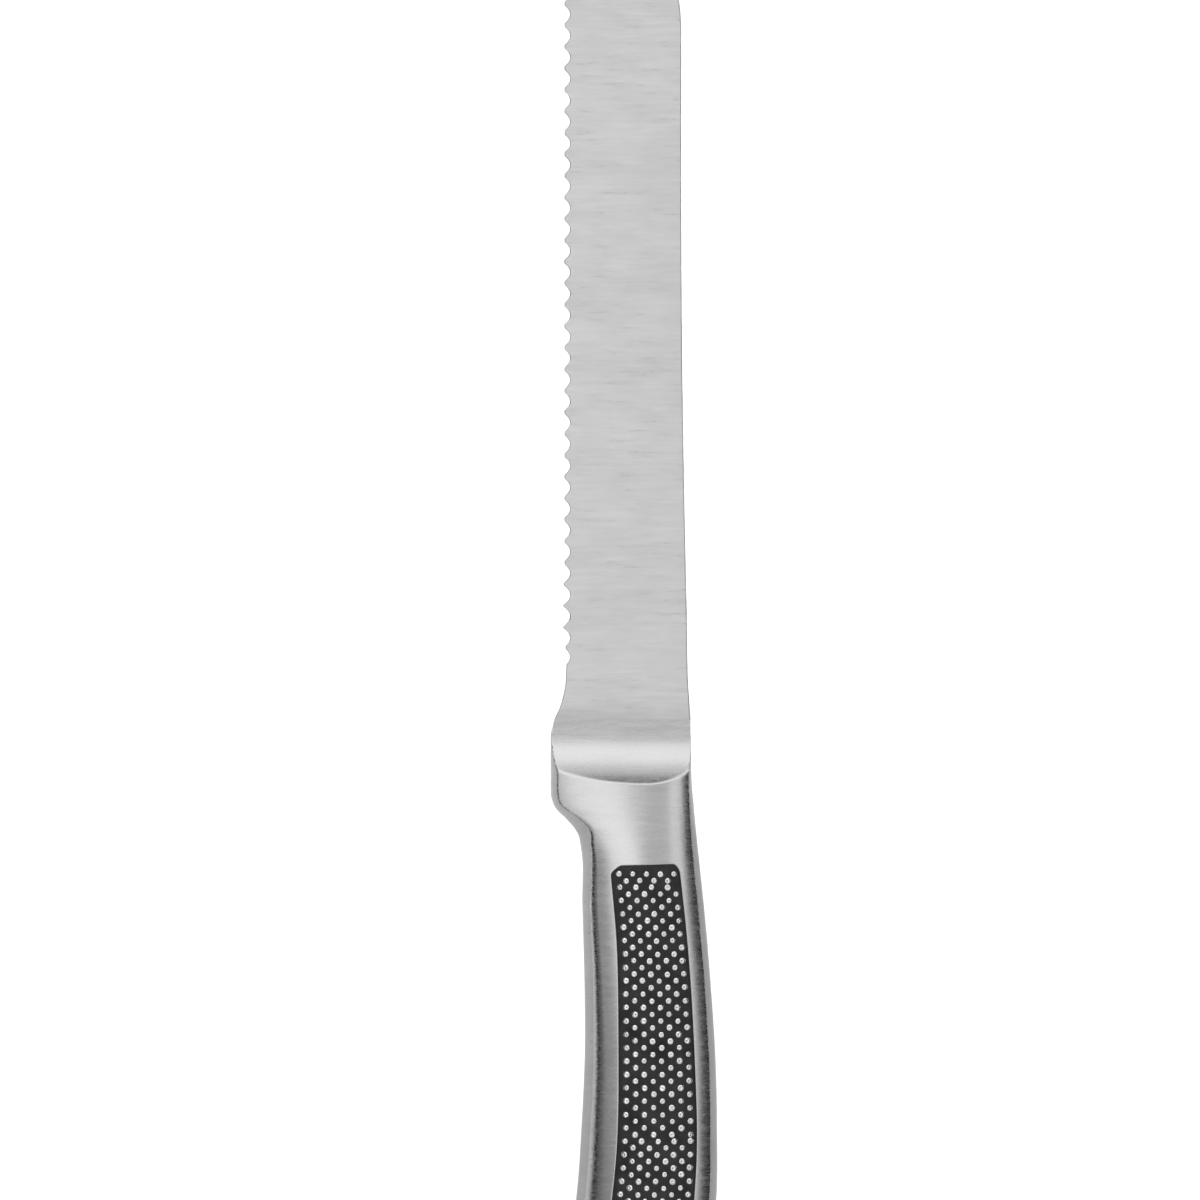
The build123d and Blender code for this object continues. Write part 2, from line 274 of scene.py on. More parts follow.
def panel_end():
    """The panel's rounded rear end in two quarters, belly side first."""
    belly_end = np.array(PANEL_BELLY_SIDE[-1])
    spine_end = np.array(PANEL_SPINE_SIDE[0])
    middle = (belly_end + spine_end) / 2
    half_width = (spine_end[0] - belly_end[0]) / 2
    angles = np.linspace(math.pi, 0, 2 * PANEL_END_STEPS + 1)
    across = np.sign(np.cos(angles)) * np.abs(np.cos(angles)) ** (2 / PANEL_END_POWER)
    down = np.sin(angles).clip(0) ** (2 / PANEL_END_POWER)
    points = np.stack([
        middle[0] + half_width * across,
        middle[1] - PANEL_END_LENGTH * down,
    ], axis=1)
    return points[:PANEL_END_STEPS + 1], points[PANEL_END_STEPS:]


def end_shares(count, close_length, length):
    """Shares of a run from 0 to 1 that crowd together over the last stretch before 1."""
    near = close_length / length
    crowded = 1 - near * (1 - np.linspace(0, 1, 8)) ** 1.4
    return np.concatenate([np.linspace(0, 1 - near, count - 7)[:-1], crowded])


def rounded_corner(before, corner, after, radius, count=7):
    """Points of a rounding at a corner, as a quadratic curve."""
    before, corner, after = (np.array(point, float) for point in (before, corner, after))
    start = corner + (before - corner) / np.linalg.norm(before - corner) * radius
    end = corner + (after - corner) / np.linalg.norm(after - corner) * radius
    t = np.linspace(0, 1, count)[:, None]
    return start * (1 - t) ** 2 + 2 * corner * t * (1 - t) + end * t ** 2


def panel_outline():
    """The panel's border in four runs: belly side, two rear quarters, spine side."""
    top_right, top_left = PANEL_TOP_CORNERS
    first, last = PANEL_BELLY_SIDE[0], PANEL_SPINE_SIDE[-1]
    belly_side = along(PANEL_BELLY_SIDE, np.linspace(0, 1, SIDE_STEPS))
    spine_side = along(PANEL_SPINE_SIDE, np.linspace(0, 1, SIDE_STEPS))
    top_left_turn = rounded_corner(top_right, top_left, first, 0.7)
    low_left_turn = rounded_corner(top_left, first, belly_side[8], 0.7)
    low_right_turn = rounded_corner(spine_side[-9], last, top_right, 0.7)
    top_right_turn = rounded_corner(last, top_right, top_left, 0.7)
    start = len(top_left_turn) // 2
    belly_run = np.concatenate([
        top_left_turn[start:], low_left_turn, belly_side[belly_side[:, 1] < low_left_turn[-1, 1]],
    ])
    spine_run = np.concatenate([
        spine_side[spine_side[:, 1] < low_right_turn[0, 1]], low_right_turn,
        top_right_turn[:start + 1],
    ])
    top_run = np.concatenate([top_left_turn[:start + 1][::-1], top_right_turn[start:][::-1]])
    return resampled(belly_run, SIDE_STEPS), resampled(spine_run, SIDE_STEPS), top_run


def resampled(points, count):
    """The same polyline with evenly spaced points."""
    run = np.concatenate([[0], np.cumsum(np.linalg.norm(np.diff(points, axis=0), axis=1))])
    at = np.linspace(0, run[-1], count)
    return np.stack([np.interp(at, run, points[:, axis]) for axis in (0, 1)], axis=1)


panel_belly, panel_spine, panel_top = panel_outline()
quarter_shares = np.linspace(0, 1, END_STEPS)
panel_rear = [along(quarter, quarter_shares) for quarter in panel_end()]

# The panel's whole border, as a closed polyline, for distances from it.
border = np.concatenate([panel_belly, panel_rear[0], panel_rear[1], panel_spine, panel_top[::-1]])
border_ends = np.roll(border, -1, axis=0)

# The run round the panel, from the bolster to the bolster, and the outline that faces it.
neck_left_x = panel_belly[0, 0]
neck_right_x = panel_spine[-1, 0]
neck_shares = end_shares(NECK_STEPS, 0.5, BOLSTER_REAR_Y - panel_belly[0, 1])
neck_left = np.stack([
    np.full(NECK_STEPS, neck_left_x),
    BOLSTER_REAR_Y + (panel_belly[0, 1] - BOLSTER_REAR_Y) * neck_shares,
], axis=1)
neck_right = np.stack([
    np.full(NECK_STEPS, neck_right_x),
    BOLSTER_REAR_Y + (panel_spine[-1, 1] - BOLSTER_REAR_Y) * neck_shares,
], axis=1)
inner_run = np.concatenate([
    neck_left, panel_belly[1:], panel_rear[0][1:], panel_rear[1][1:], panel_spine[1:],
    neck_right[::-1][1:],
])


def outline_side(column, start_y, end_y, shares):
    """Points along one side of the handle between two places."""
    ys = start_y + (end_y - start_y) * shares
    return np.stack([outline_x(ys, column), ys], axis=1)


def facing_outline():
    """Points of the handle's outline that face the points of the inner run."""
    side_top_y = -32.5
    side_end_y = -112.0
    side_shares = np.linspace(0, 1, SIDE_STEPS)
    neck_even = np.linspace(0, 1, NECK_STEPS)
    butt_curve = [(outline_x(y, 1), y) for y in (side_end_y, -115.0)]
    butt_curve += BUTT
    butt_curve += [(outline_x(y, 2), y) for y in (-115.0, side_end_y)]
    butt = along(butt_curve, np.linspace(0, 1, 2 * END_STEPS - 1))
    return np.concatenate([
        outline_side(1, BOLSTER_REAR_Y, side_top_y, neck_even),
        outline_side(1, side_top_y, side_end_y, side_shares)[1:],
        butt[1:],
        outline_side(2, side_end_y, side_top_y, side_shares)[1:],
        outline_side(2, side_top_y, BOLSTER_REAR_Y, neck_even)[1:],
    ])


outer_run = facing_outline()
bolster_belly = np.stack([outline_x(bolster_ys, 1), bolster_ys], axis=1)
bolster_spine = np.stack([outline_x(bolster_ys, 2), bolster_ys], axis=1)
outline = np.concatenate([
    bolster_belly[:1] + OVERRUN, bolster_belly, outer_run[1:-1], bolster_spine[::-1],
    bolster_spine[:1] + OVERRUN,
])


def side_value(column):
    """Lean or turn at every point of the outline, blended round the butt."""
    belly = smooth(outline[:, 1], BELLY_SIDE, column)
    spine = smooth(outline[:, 1], SPINE_SIDE, column)
    butt = (BUTT_LEAN, BUTT_TURN)[column - 1]
    on_spine = np.arange(len(outline)) > len(outline) / 2
    start, end = BUTT_BLEND_Y
    into_butt = np.clip((start - outline[:, 1]) / (start - end), 0, 1)
    into_butt = into_butt * into_butt * (3 - 2 * into_butt)
    side = np.where(on_spine, spine, belly)
    return side + (butt - side) * into_butt


side_lean = side_value(1)
side_turn = side_value(2)


def crown(plan, inset=0.0):
    """Height of the crown, without the sides, under each point in plan."""
    x, y = plan[:, 0], plan[:, 1]
    ridge = smooth(y, STATIONS, 4)
    radius = np.where(x < ridge, smooth(y, STATIONS, 5), smooth(y, STATIONS, 6)) - inset
    drop = radius - np.sqrt(np.maximum(radius ** 2 - (x - ridge) ** 2, 0))
    return smooth(y, STATIONS, 3) - inset - drop


def height(plan, inset=0.0):
    """Height of the handle's surface, or of the same surface inset all round."""
    shape = plan.shape[:-1]
    plan = plan.reshape(-1, 2)
    gap, nearest, share = segment_distance(plan, outline[:-1], outline[1:])
    lean = side_lean[nearest] + (side_lean[nearest + 1] - side_lean[nearest]) * share
    turn = side_turn[nearest] + (side_turn[nearest + 1] - side_turn[nearest]) * share
    inward = np.maximum(gap - inset, 0) / lean
    z = crown(plan, inset) * soft_min(inward ** SIDE_POWER, 1.0, turn)
    reach = np.clip(BLADE_START_Y - plan[:, 1], 0, 0.98 * FILLET_RADIUS)
    fillet = BLADE_HALF - inset + FILLET_RADIUS - np.sqrt(FILLET_RADIUS ** 2 - reach ** 2)
    return soft_min(z, fillet, FILLET_TURN).clip(0).reshape(shape)


def raised(plan, z):
    """Points in plan with their heights."""
    return np.concatenate([plan, np.asarray(z)[..., None]], axis=-1)


# ---- meshes ----

def flipped(grid):
    """The same grid on the other side of the mid-plane."""
    return grid * np.array([1, 1, -1])


def add_grid(bm, grid):
    """Adds a grid of points as quads."""
    rows, columns = grid.shape[:2]
    verts = [bm.verts.new(point) for point in to_frame(grid).reshape(-1, 3)]
    for row in range(rows - 1):
        for column in range(columns - 1):
            i = row * columns + column
            bm.faces.new((verts[i], verts[i + 1], verts[i + columns + 1], verts[i + columns]))


def piece(name, grids, material, nodes, sharp=38):
    """A closed mesh from grids that share borders, in place of the named CAD nodes."""
    bm = bmesh.new()
    for grid in grids:
        add_grid(bm, grid)
    bmesh.ops.remove_doubles(bm, verts=bm.verts, dist=WELD)
    bmesh.ops.dissolve_degenerate(bm, edges=bm.edges, dist=WELD)
    bmesh.ops.recalc_face_normals(bm, faces=bm.faces)
    uv = bm.loops.layers.uv.new("plan")
    for face in bm.faces:
        face.smooth = True
        for loop in face.loops:
            point = loop.vert.co
            rise = point.z - SHIFT[2] * MM
            taper = (abs(rise) + UV_TILT * rise) / UV_TAPER
            loop[uv].uv = point.yx * UV_SCALE * (1 - taper)
    mesh = bpy.data.meshes.new(name)
    bm.to_mesh(mesh)
    bm.free()
    mesh.set_sharp_from_angle(angle=math.radians(sharp))
    mark_faces(mesh)
    mesh.materials.append(material)
    made = bpy.data.objects.new(name, mesh)
    bpy.context.scene.collection.objects.link(made)
    made.visible_shadow = False
    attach(made, "root")
    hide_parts(*nodes)
    return made


def mark_faces(mesh):
    """Marks the steep faces and the blade's heel, which both get painted shade: a darker base colour.
    """
    normals = np.array([polygon.normal for polygon in mesh.polygons])
    centres = np.array([polygon.center for polygon in mesh.polygons]) / MM - SHIFT
    steep = np.abs(normals[:, 2]) < SIDE_STEEPNESS
    # painted shade on the steep faces, fullest on the spine side; the same mark also makes them
    # rougher
    side = np.where(steep, np.where(centres[:, 0] > 0, 1.0, BELLY_SIDE_PAINTED_SHADE), 0.0)
    # painted shade on the blade, deepening towards the bolster
    heel = (HEEL_PAINTED_SHADE_Y - centres[:, 1]) / (HEEL_PAINTED_SHADE_Y - BLADE_START_Y)
    heel = np.where(centres[:, 1] > BLADE_START_Y, heel.clip(0, 1), 0.0)
    for name, share in (("side", side), ("heel", heel)):
        mark = mesh.attributes.new(name, "FLOAT", "FACE")
        mark.data.foreach_set("value", share)


def band(*rows):
    """A grid whose rows are the given rows of points."""
    return np.stack(rows)


def slotted_cap(top_row, bottom_row, first, last):
    """An end face with a rectangular hole between two columns, as grids."""
    upper = top_row.copy()
    upper[:, 2] = np.minimum(top_row[:, 2], TANG_HALF)
    lower = bottom_row.copy()
    lower[:, 2] = np.maximum(bottom_row[:, 2], -TANG_HALF)
    upper[[0, -1]] = top_row[[0, -1]]
    lower[[0, -1]] = bottom_row[[0, -1]]
    return [
        band(top_row, upper),
        band(upper[:first + 1], lower[:first + 1]),
        band(upper[last:], lower[last:]),
        band(lower, bottom_row),
    ]


def slot_ring(y, first_x, last_x, count):
    """The tang's section at y as a closed row of points."""
    xs = np.linspace(first_x, last_x, count)
    upper = np.stack([xs, np.full(count, y), np.full(count, TANG_HALF)], axis=1)
    ring = np.concatenate([upper, flipped(upper)[::-1]])
    return np.concatenate([ring, ring[:1]])


SLOT_LOW_X = TANG_X - TANG_WIDTH / 2
SLOT_HIGH_X = TANG_X + TANG_WIDTH / 2


# ---- blade ----

def grind(y):
    """Where the scallops' ground face would meet the left side, whole and cut to the edge."""
    depth_along = TOOTH_DEPTH * math.sin(GRIND_ANGLE)
    wheel = ((SCALLOP_WIDTH / 2) ** 2 + depth_along ** 2) / (2 * depth_along)
    count = int((TIP_Y - TIP_MARGIN - FIRST_TOOTH_Y) / TOOTH_PITCH) + 1
    centres = np.concatenate([[HEEL_NOTCH_Y], FIRST_TOOTH_Y + TOOTH_PITCH * np.arange(count)])
    away = np.abs(y[:, None] - centres[None]).min(1).clip(0, 0.999 * wheel)
    rise = wheel - np.sqrt(wheel ** 2 - away ** 2)
    return EDGE_X + TOOTH_DEPTH - rise / math.sin(GRIND_ANGLE)


def plain_edge(y):
    """The edge's outline without scallops."""
    heel = [(BLADE_START_Y, HEEL_EDGE_X), (6.3, -15.35), (10.0, -14.3), (PLAIN_EDGE_Y, PLAIN_EDGE_X)]
    heel += [(PLAIN_EDGE_Y + 2.5, PLAIN_EDGE_X - 0.05), (PLAIN_EDGE_Y + TOOTH_PITCH, EDGE_X)]
    return smooth(y, heel + [(40.0, EDGE_X)])


def blade_rows():
    """Places along the blade, closer together round the nose."""
    straight = np.arange(BLADE_START_Y, NOSE_Y, TOOTH_PITCH / ROWS_PER_TOOTH)
    angles = np.linspace(0, math.pi / 2, NOSE_STEPS)
    return np.concatenate([straight, NOSE_Y + (TIP_Y - NOSE_Y) * np.sin(angles)])


def spine_x(y):
    """The spine's outline and the nose's quarter ellipse."""
    back = smooth(y, [
        (BLADE_START_Y, SPINE_HEEL_X), (12.0, 14.85), (31.0, 14.45), (52.0, 14.0),
        (SPINE_MID_Y, SPINE_MID_X), (110.0, 13.25), (NOSE_Y, NOSE_X),
    ])
    up = ((y - NOSE_Y) / (TIP_Y - NOSE_Y)).clip(0, 1)
    nose = EDGE_X + (NOSE_X - EDGE_X) * np.sqrt(1 - up ** 2)
    return np.where(y < NOSE_Y, back, nose)


def blade():
    """The blade's two sides, its edges and its tang."""
    y = blade_rows()
    ground = grind(y)
    edge = np.maximum(plain_edge(y), ground)
    spine = spine_x(y)
    edge = np.minimum(edge, spine)
    width = spine - edge
    slope = np.gradient(spine, y)
    facet_end = (ground + 2 * BLADE_HALF / math.tan(GRIND_ANGLE)).clip(edge + 0.4, None)
    facet_end = np.minimum(facet_end, edge + 0.35 * width)
    near_edge = np.array([0, 0.04, 0.09, 0.14, 0.18, 0.22, 0.28])
    near_spine = np.array([0.5, 0.42, 0.35, 0.28, 0.21, 0.14, 0.08, 0.03, 0])
    squeeze = (width / 8).clip(0, 1)
    columns = [edge + offset * squeeze for offset in near_edge]
    bevel_end = columns[-1]
    columns += [bevel_end + (facet_end - bevel_end) * share for share in np.linspace(0, 1, 6)[1:]]
    spine_start = spine - near_spine[0] * squeeze
    low_share = (SLOT_LOW_X - facet_end[0]) / (spine_start[0] - facet_end[0])
    high_share = (SLOT_HIGH_X - facet_end[0]) / (spine_start[0] - facet_end[0])
    shares = np.concatenate([
        np.linspace(0, low_share, 4)[1:-1],
        np.linspace(low_share, high_share, BLADE_SLOT_COLUMNS),
        np.linspace(high_share, 1, 4)[1:-1],
    ])
    first_slot = len(columns) + 2
    last_slot = first_slot + BLADE_SLOT_COLUMNS - 1
    columns += [facet_end + (spine_start - facet_end) * share for share in shares]
    columns += [spine - offset * squeeze for offset in near_spine]
    x = np.stack(columns, axis=1)
    from_edge = x - edge[:, None]
    from_spine = (spine[:, None] - x) / np.sqrt(1 + slope[:, None] ** 2)
    bevel = MICRO_BEVEL_DROP * (1 - from_edge / MICRO_BEVEL).clip(0, 1) ** 1.3
    round_share = (1 - from_spine / SPINE_ROUND).clip(0, 1)
    rounding = SPINE_ROUND * (1 - np.sqrt(1 - round_share ** 2))
    top = BLADE_HALF - bevel - rounding
    facet_top = BLADE_HALF - MICRO_BEVEL_DROP - FACET_STEP
    facet = np.minimum(facet_top - (x - ground[:, None]) * math.tan(GRIND_ANGLE), facet_top)
    bottom = np.maximum(facet, -BLADE_HALF + bevel + rounding)
    bottom = np.minimum(bottom, top - 0.01)
    plan_y = np.repeat(y[:, None], x.shape[1], axis=1)
    upper = np.stack([x, plan_y, top], axis=2)
    lower = np.stack([x, plan_y, bottom], axis=2)
    count = BLADE_SLOT_COLUMNS
    rings = [
        slot_ring(BLADE_START_Y, SLOT_LOW_X, SLOT_HIGH_X, count),
        slot_ring(BOLSTER_REAR_Y, SLOT_LOW_X, SLOT_HIGH_X, count),
        slot_ring(TANG_END_Y, TANG_X - TANG_END_WIDTH / 2, TANG_X + TANG_END_WIDTH / 2, count),
    ]
    tang_end = band(rings[-1][:count], rings[-1][count:2 * count][::-1])
    tip_end = band(upper[-1], lower[-1])
    return [
        upper, lower, band(upper[:, 0], lower[:, 0]), band(upper[:, -1], lower[:, -1]),
        *slotted_cap(upper[0], lower[0], first_slot, last_slot), np.stack(rings), tang_end, tip_end,
    ]


# ---- bolster ----

def bolster():
    """Collar with the hollow fillet, the tang's slot and the spigot behind."""
    near = np.array([0, 0.02, 0.05, 0.1, 0.17, 0.26, 0.37, 0.5, 0.65, 0.8, 0.95, 1.1, 1.25, 1.4])
    near_belly = np.concatenate([near, np.arange(1.5, 3.9, 0.12), [4.2]])
    near_spine = np.concatenate([near, np.arange(1.55, 3.0, 0.25), [3.6, 4.2]])[::-1]

    def row(y, inset):
        belly = outline_x(y, 1) + inset
        spine = outline_x(y, 2) - inset
        xs = np.concatenate([
            belly + near_belly,
            np.linspace(belly + near_belly[-1], SLOT_LOW_X, 10)[1:-1],
            np.linspace(SLOT_LOW_X, SLOT_HIGH_X, SLOT_COLUMNS),
            np.linspace(SLOT_HIGH_X, spine - near_spine[0], 5)[1:-1],
            spine - near_spine,
        ])
        plan = np.stack([xs, np.full(len(xs), y)], axis=1)
        z = height(plan, inset).clip(MIN_RISE)
        z[[0, -1]] = 0
        return raised(plan, z)

    rows = [row(y, 0.0) for y in bolster_ys]
    spigot_inset = WALL + 0.05
    rows += [row(y, spigot_inset) for y in (BOLSTER_REAR_Y, BOLSTER_REAR_Y - SPIGOT_LENGTH)]
    top = np.stack(rows)
    bottom = flipped(top)
    first = len(near_belly) + 8
    last = first + SLOT_COLUMNS - 1
    rings = [
        slot_ring(y, SLOT_LOW_X, SLOT_HIGH_X, SLOT_COLUMNS)
        for y in (BLADE_START_Y, BOLSTER_REAR_Y - SPIGOT_LENGTH)
    ]
    return [
        top, bottom, *slotted_cap(top[0], bottom[0], first, last),
        *slotted_cap(top[-1], bottom[-1], first, last), np.stack(rings),
    ]


# ---- handle shells ----

def lip_drop(plan):
    """How far the rounded edge round the panel has dropped at each point."""
    shape = plan.shape[:-1]
    gap = segment_distance(plan.reshape(-1, 2), border, border_ends)[0]
    inside = (1 - gap / LIP).clip(0, 1)
    return (LIP * (1 - np.sqrt(1 - inside ** 2))).reshape(shape)


def ladder(rungs=22):
    """The panel's area as a grid: straight rungs from its belly side to its spine side."""
    left = np.concatenate([panel_belly, panel_rear[0][1:]])
    right = np.concatenate([panel_spine[::-1], panel_rear[1][::-1][1:]])
    shares = np.concatenate([[0, 0.012, 0.03], np.linspace(0.06, 0.94, rungs), [0.97, 0.988, 1]])
    grid = left[:, None] + (right - left)[:, None] * shares[None, :, None]
    return grid, shares


def top_edge_points(shares):
    """Points of the panel's top edge at the ladder's shares."""
    run = np.concatenate([[0], np.cumsum(np.linalg.norm(np.diff(panel_top, axis=0), axis=1))])
    return np.stack([
        np.interp(shares * run[-1], run, panel_top[:, axis]) for axis in (0, 1)
    ], axis=1)


def panel_grid():
    """Plan grid over the whole panel, its first row on the top edge."""
    grid, shares = ladder()
    top_row = top_edge_points(shares)
    lift = (top_row - grid[0])[None]
    fade = (1 - (np.arange(len(grid)) / 12.0)).clip(0, 1)[:, None, None]
    return grid + lift * fade


panel_plan = panel_grid()


def strip_plan(start_run):
    """Plan grid between an outer run and the run round the panel, dense at both borders."""
    reach = np.linalg.norm(inner_run - start_run, axis=1)
    outer = np.concatenate([
        [0, 0.0025, 0.006, 0.012, 0.02, 0.032, 0.048, 0.068, 0.09, 0.115],
        np.linspace(0.14, 0.56, 26), np.linspace(0.6, 1.0, 9),
    ])
    lip = np.array([0.34, 0.28, 0.22, 0.17, 0.12, 0.08, 0.045, 0.02, 0.0])
    distance = np.concatenate([
        outer[None] * (reach[:, None] - 0.42), reach[:, None] - lip[None],
    ], axis=1)
    share = distance / reach[:, None]
    return start_run[:, None] + (inner_run - start_run)[:, None] * share[..., None]


def neck_plan():
    """Plan grid between the bolster and the panel's top edge."""
    shares = ladder()[1]
    low = top_edge_points(shares)
    high = np.stack([
        neck_left_x + (neck_right_x - neck_left_x) * shares,
        np.full(len(shares), BOLSTER_REAR_Y),
    ], axis=1)
    grid = high[None] + (low - high)[None] * neck_shares[:, None, None]
    grid[:, 0] = neck_left
    grid[:, -1] = neck_right
    return grid


def inward_normals(run):
    """Unit normals of a run, pointing into the handle."""
    direction = np.gradient(run, axis=0)
    direction /= np.linalg.norm(direction, axis=1)[:, None]
    normals = np.stack([-direction[:, 1], direction[:, 0]], axis=1)
    normals[[0, -1], 1] = 0
    return normals / np.linalg.norm(normals, axis=1)[:, None]


def inner_height(plan):
    """Height of the shell's inside: below the crown, and lower under the recess."""
    shape = plan.shape[:-1]
    flat = plan.reshape(-1, 2)
    gap = segment_distance(flat, border, border_ends)[0].reshape(shape)
    under = np.clip((RECESS_WALL + 0.5 - gap) / 0.5, 0, 1)
    deep = RECESS_DEPTH + RECESS_WALL
    return height(plan, WALL) * (1 - under) + height(plan, deep) * under


def shell():
    """Pressed shell: its outside with the recess for the panel, its inside and its rims."""
    strip = strip_plan(outer_run)
    outside = height(strip) - lip_drop(strip)
    outside[:, 0] = 0
    strip_out = raised(strip, outside)
    neck = neck_plan()
    neck_out = raised(neck, height(neck) - lip_drop(neck))
    floor_out = raised(panel_plan, height(panel_plan) - RECESS_DEPTH)

    start = NECK_STEPS - 1
    panel_slice = slice(start, len(inner_run) - start)
    lip_row = strip_out[panel_slice, -1]
    ring_low = raised(inner_run[panel_slice], height(inner_run[panel_slice]) - RECESS_DEPTH)
    side_wall = band(lip_row, ring_low)
    top_wall = band(neck_out[-1], floor_out[0])

    inset_run = outer_run + inward_normals(outer_run) * WALL
    strip_in_plan = strip_plan(inset_run)
    inside = inner_height(strip_in_plan)
    inside[:, 0] = 0
    strip_in = raised(strip_in_plan, inside)
    neck_in = raised(neck, inner_height(neck))
    floor_in = raised(panel_plan, inner_height(panel_plan))
    rim = band(strip_out[:, 0], strip_in[:, 0])
    front_left = band(strip_out[0], strip_in[0])
    front_right = band(strip_out[-1], strip_in[-1])
    front_neck = band(neck_out[0], neck_in[0])
    return [
        strip_out, neck_out, floor_out, side_wall, top_wall, strip_in, neck_in, floor_in,
        rim, front_left, front_right, front_neck,
    ]


# ---- what the shells hold ----

def side_xs(y):
    """The handle's belly and spine in plan at y, round the butt too."""
    lowest = outer_run[:, 1].argmin()
    belly, spine = outer_run[:lowest + 1], outer_run[lowest:]
    return (
        np.interp(-y, -belly[:, 1], belly[:, 0]),
        np.interp(y, spine[:, 1], spine[:, 0]),
    )


def cast_rows(front_y, rear_y, slot_low, slot_high):
    """Rows over a cast block, from its front to its rear, a bond's gap inside the shell."""
    near = np.array([0, 0.04, 0.1, 0.2, 0.35, 0.6, 0.9, 1.3, 1.8])
    rows = []
    for y in spaced(front_y, rear_y, 1.0):
        belly, spine = side_xs(y)
        low = belly + WALL + 3 * BOND_GAP
        high = spine - WALL - 3 * BOND_GAP
        xs = np.concatenate([
            low + near,
            np.linspace(low + near[-1], slot_low, 8)[1:-1],
            np.linspace(slot_low, slot_high, SLOT_COLUMNS),
            np.linspace(slot_high, high - near[-1], 8)[1:-1],
            high - near[::-1],
        ])
        plan = np.stack([xs, np.full(len(xs), y)], axis=1)
        z = (inner_height(plan) - BOND_GAP).clip(MIN_RISE)
        z[[0, -1]] = 0
        rows.append(raised(plan, z))
    return np.stack(rows), len(near) + 6


def resin():
    """Cast block round the tang."""
    front_y = BOLSTER_REAR_Y - SPIGOT_LENGTH - 0.02
    share = (front_y - BOLSTER_REAR_Y) / (TANG_END_Y - BOLSTER_REAR_Y)
    half_width = (TANG_WIDTH + (TANG_END_WIDTH - TANG_WIDTH) * share) / 2
    low, high = TANG_X - half_width, TANG_X + half_width
    top, first = cast_rows(front_y, RESIN_END_Y, low, high)
    last = first + SLOT_COLUMNS - 1
    rings = [
        slot_ring(front_y, low, high, SLOT_COLUMNS),
        slot_ring(TANG_END_Y, TANG_X - TANG_END_WIDTH / 2, TANG_X + TANG_END_WIDTH / 2, SLOT_COLUMNS),
    ]
    hole_end = band(rings[-1][:SLOT_COLUMNS], rings[-1][SLOT_COLUMNS:2 * SLOT_COLUMNS][::-1])
    return [
        top, flipped(top), *slotted_cap(top[0], flipped(top[0]), first, last),
        band(top[-1], flipped(top[-1])), np.stack(rings), hole_end,
    ]


def weight():
    """Cast block in the butt."""
    top = cast_rows(WEIGHT_START_Y, WEIGHT_END_Y, SLOT_LOW_X, SLOT_HIGH_X)[0]
    return [top, flipped(top), band(top[0], flipped(top[0])), band(top[-1], flipped(top[-1]))]


# ---- grip panel ----

def panel_slab(upper_depth, lower_depth, edge_round, gap):
    """Closed layer over the panel's area between two depths below the crown."""
    centre = panel_plan.mean(axis=(0, 1))
    plan = centre + (panel_plan - centre) * (1 - gap / 40)
    from_border = segment_distance(plan.reshape(-1, 2), border, border_ends)[0]
    from_border = from_border.reshape(plan.shape[:-1])
    sink = edge_round * (1 - from_border / 0.35).clip(0, 1) ** 2
    surface = height(plan)
    top = raised(plan, surface - upper_depth - sink)
    bottom = raised(plan, surface - lower_depth)
    return [
        top, bottom, band(top[0], bottom[0]), band(top[:, 0], bottom[:, 0]),
        band(top[:, -1], bottom[:, -1]), band(top[-1], bottom[-1]),
    ]


def stud_places():
    """Centres of the studs: staggered rows whose columns spread as the panel widens."""
    belly_side = [(y, x) for x, y in PANEL_BELLY_SIDE]
    spine_side = [(y, x) for x, y in PANEL_SPINE_SIDE]
    rows = int((STUD_FIRST_ROW_Y - STUD_LAST_ROW_Y) / STUD_ROW_PITCH) + 1
    belly_end_x, end_y = PANEL_BELLY_SIDE[-1]
    spine_end_x = PANEL_SPINE_SIDE[0][0]
    half_width = (spine_end_x - belly_end_x) / 2 - STUD_END_MARGIN
    places = []
    for row in range(rows):
        y = STUD_FIRST_ROW_Y - row * STUD_ROW_PITCH
        first = float(smooth(np.array([y]), belly_side)[0]) + STUD_BELLY_MARGIN
        last = float(smooth(np.array([y]), spine_side)[0]) - STUD_SPINE_MARGIN
        columns = STUD_COLUMNS
        if row < STUD_DENSE_ROWS or (last - first) / (columns - 1) > STUD_MAX_SPACING:
            columns += 1
        spacing = (last - first) / (columns - 1)
        for column in range(row % 2, columns, 2):
            x = first + column * spacing
            across = abs(x - (belly_end_x + spine_end_x) / 2) / half_width
            down = max(0.0, end_y - y) / (PANEL_END_LENGTH - STUD_END_MARGIN)
            if down == 0 or across ** PANEL_END_POWER + down ** PANEL_END_POWER <= 1:
                places.append((x, y))
    return np.array(places)


def studs():
    """Every stud of one side, tilted with the surface and slightly uneven, as on pressed steel."""
    rng = np.random.default_rng(7)
    places = stud_places()
    step = 0.05
    here = height(places)
    slope_x = (height(places + [step, 0]) - height(places - [step, 0])) / (2 * step)
    slope_y = (height(places + [0, step]) - height(places - [0, step])) / (2 * step)
    angles = np.linspace(0, 2 * math.pi, STUD_SIDES + 1)
    angles[-1] = 0
    section = np.array(STUD_SECTION)
    grids = []
    for index, (x, y) in enumerate(places):
        size = 1 + rng.uniform(-0.1, 0.08)
        shift = rng.uniform(-0.07, 0.07, 2)
        lift = rng.uniform(-0.03, 0.03)
        lean = rng.uniform(-0.13, 0.13, 2)
        radii = section[:, :1] * size
        local_x = radii * np.cos(angles)[None]
        local_y = radii * np.sin(angles)[None]
        z = here[index] - STUD_TOP_DEPTH + lift + section[:, 1:]
        z = z + (slope_x[index] + lean[0]) * local_x + (slope_y[index] + lean[1]) * local_y
        grid = np.stack([x + shift[0] + local_x, y + shift[1] + local_y, z], axis=2)
        foot = band(grid[0], np.repeat(grid[0].mean(0)[None], STUD_SIDES + 1, axis=0))
        grids += [grid, foot]
    return grids


# ---- materials ----

